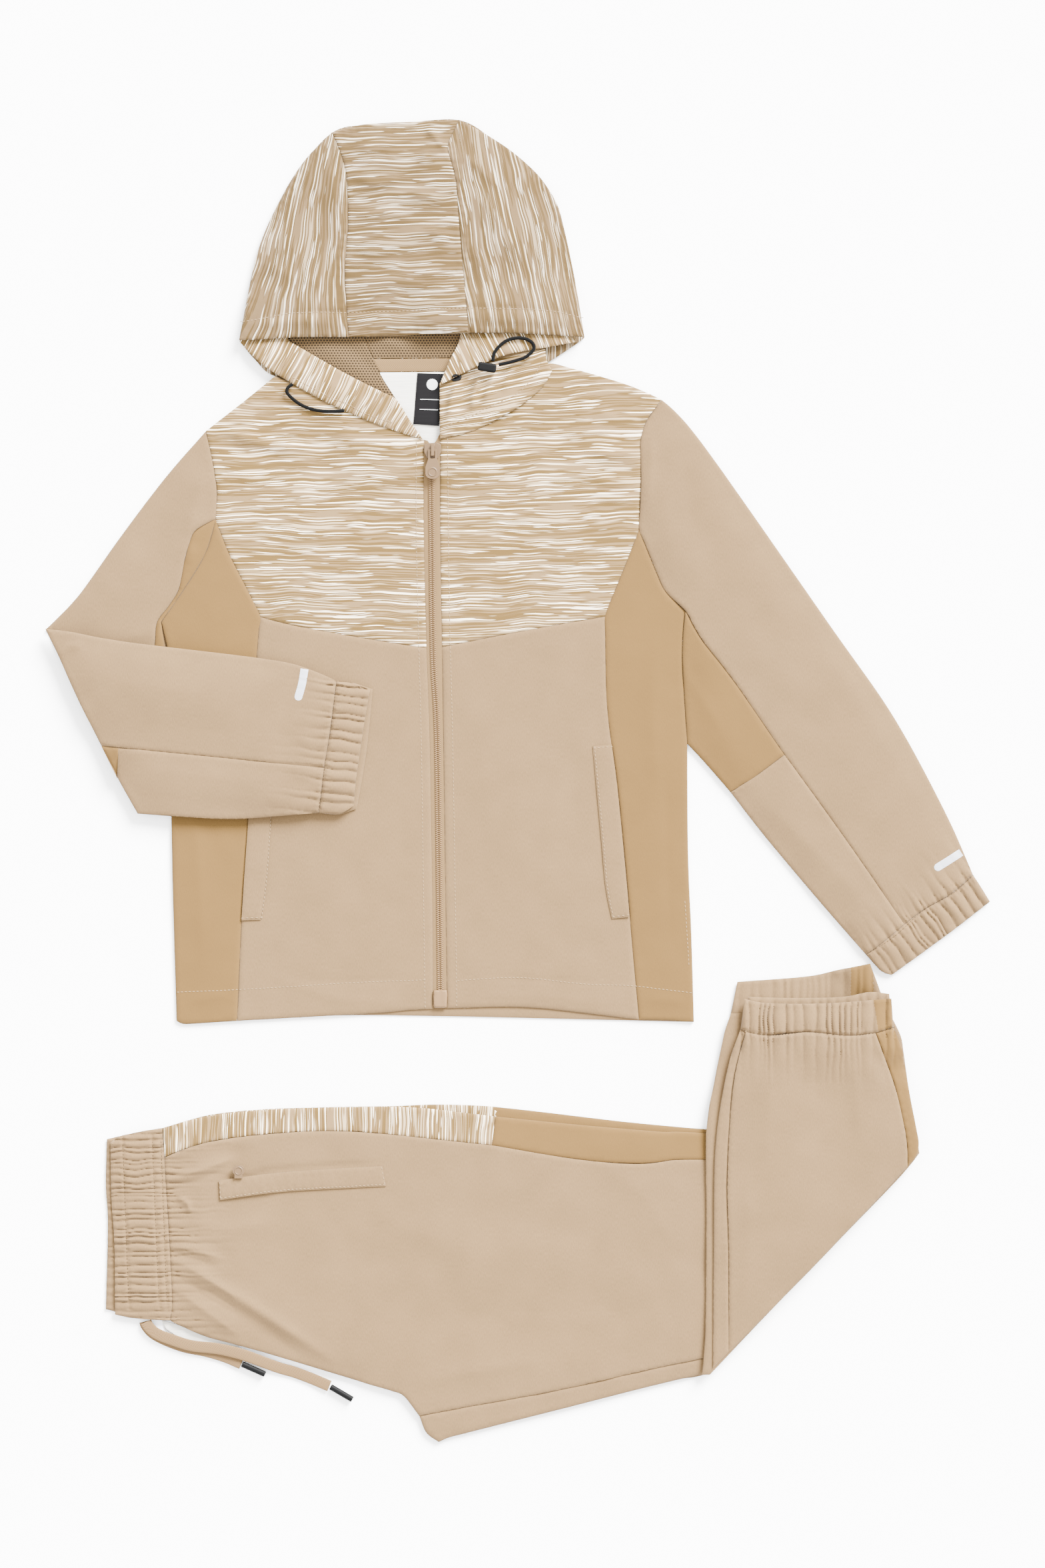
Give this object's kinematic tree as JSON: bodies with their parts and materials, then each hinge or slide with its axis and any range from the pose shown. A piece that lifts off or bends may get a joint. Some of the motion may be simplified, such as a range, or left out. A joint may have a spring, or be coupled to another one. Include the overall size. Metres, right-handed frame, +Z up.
{
  "type": "child's hooded tracksuit",
  "caption": "Child's hooded zip jacket laid flat with one sleeve folded over its front, and elastic-waist jogging trousers folded leg on leg and at the knee",
  "frame": {"origin": "on the underside of the jacket's back where the set rests, under the middle of the jacket's chest", "axes": "+X to the picture's right across the garments, +Y up the picture along the jacket's length toward the hood, +Z up off the floor"},
  "size_m": [0.751, 1.0516, 0.0184],
  "materials": {
    "beige": "matt stretch woven cloth",
    "ochre": "matt stretch woven cloth",
    "print": "matt cloth printed with short streaks",
    "mesh": "perforated knitted lining",
    "lining": "white slub lining",
    "tape": "woven tape",
    "label": "woven satin label",
    "coil": "satin paint",
    "black": "moulded, satin",
    "elastic": "braided round elastic",
    "drawcord": "flat woven cord"
  },
  "bodies": {
    "garment": {"jacket_back": "beige", "hood_back": "print", "sleeve_left_back": "beige", "sleeve_right_back": "beige", "leg_under": "beige", "waistband_back": "beige", "hood_lining_back": "mesh", "neck_tape": "tape", "back_lining": "lining", "hood_lining_left": "mesh", "neck_label": "label", "yoke_left": "print", "yoke_right": "print", "front_left": "beige", "front_right": "beige", "side_left": "ochre", "side_right": "ochre", "zip_tape_left": "tape", "zip_tape_right": "tape", "sleeve_left": "beige", "sleeve_left_gusset": "ochre", "sleeve_right": "beige", "sleeve_right_gusset": "ochre", "sleeve_right_under": "beige", "cuff_right": "beige", "waistband": "beige", "leg_front": "beige", "leg_side_print": "print", "leg_side": "ochre", "leg_back": "beige", "collar_right": "print", "band_left": "print", "pocket_welt_left": "beige", "pocket_welt_right": "beige", "trouser_pocket_welt": "beige", "forearm_back": "beige", "low_leg_under": "beige", "cuff_leg_under": "beige", "band_right": "print", "forearm": "beige", "forearm_under": "beige", "cuff_left": "beige", "cuff_leg_back": "beige", "hood_left": "print", "hood_centre": "print", "hood_right": "print", "low_leg_front": "beige", "low_leg_back": "beige", "low_leg_side": "ochre", "cuff_leg": "beige", "zip_slider": "coil", "cord_lock": "black", "hood_elastic_left": "elastic", "hood_elastic_right": "elastic", "drawstring_a": "drawcord", "drawstring_b": "drawcord", "drawstring_tip_a": "black", "drawstring_tip_b": "black"},
    "jacket_zip_pull": {"zip_pull": "coil"},
    "pocket_zip_pull": {"pocket_pull": "coil"}
  },
  "joints": [
    {"name": "jacket_pull_tab", "type": "hinge", "parent": "garment", "child": "jacket_zip_pull", "pos_m": [-0.0672, 0.2622, 0.00935], "axis": [-1, 0, 0], "range_deg": [0, 150]},
    {"name": "pocket_pull_tab", "type": "hinge", "parent": "garment", "child": "pocket_zip_pull", "pos_m": [-0.2213, -0.3152, 0.01003], "axis": [1, 0, 0], "range_deg": [0, 90]}
  ]
}
